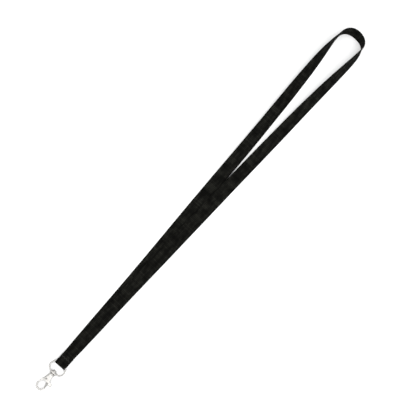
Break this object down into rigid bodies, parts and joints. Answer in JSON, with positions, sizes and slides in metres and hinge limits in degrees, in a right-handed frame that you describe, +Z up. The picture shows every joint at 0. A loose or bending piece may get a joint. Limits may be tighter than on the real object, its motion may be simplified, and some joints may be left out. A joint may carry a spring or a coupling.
{
  "type": "lanyard badge holder",
  "caption": "Flat webbing neck lanyard, sewn round a swivel ring that carries a spring-gate snap hook for hanging a badge.",
  "frame": {"origin": "underside of the sewn end, at the middle of the seam, on the surface the lanyard lies on", "axes": "+Y up the strap from the hook towards the neck bend, +Z up off the surface, +X to the thumb tab's side"},
  "size_m": [0.0349, 0.4796, 0.013],
  "materials": {
    "webbing": "matte black ribbed polyester webbing",
    "thread": "black polyester sewing thread",
    "nickel_plate": "polished nickel plate on steel",
    "spring_steel": "plain drawn spring wire"
  },
  "bodies": {
    "strap": {"strap_webbing": "webbing", "seam_needle_thread": "thread", "seam_bobbin_thread": "thread"},
    "ring": {"swivel_ring": "nickel_plate"},
    "hook": {"hook_body": "nickel_plate", "swivel_stud": "nickel_plate", "gate_rivet": "nickel_plate", "gate_spring": "spring_steel"},
    "gate": {"gate_lever": "nickel_plate"}
  },
  "joints": [
    {"name": "ring_flap", "type": "hinge", "parent": "strap", "child": "ring", "pos_m": [0, -0.0081, 0.0019], "axis": [1, 0, 0], "range_deg": [-150, 150]},
    {"name": "hook_swivel", "type": "hinge", "parent": "ring", "child": "hook", "pos_m": [0, -0.0189, 0.0019], "axis": [0, 1, 0], "continuous": true},
    {"name": "gate_pivot", "type": "hinge", "parent": "hook", "child": "gate", "pos_m": [-0.0013, -0.0279, 0.0019], "axis": [0, 0, 1], "range_deg": [0, 28], "stiffness_Nm_per_rad": 0.01, "springref_deg": -28.65, "deforming": ["gate_spring"]}
  ]
}
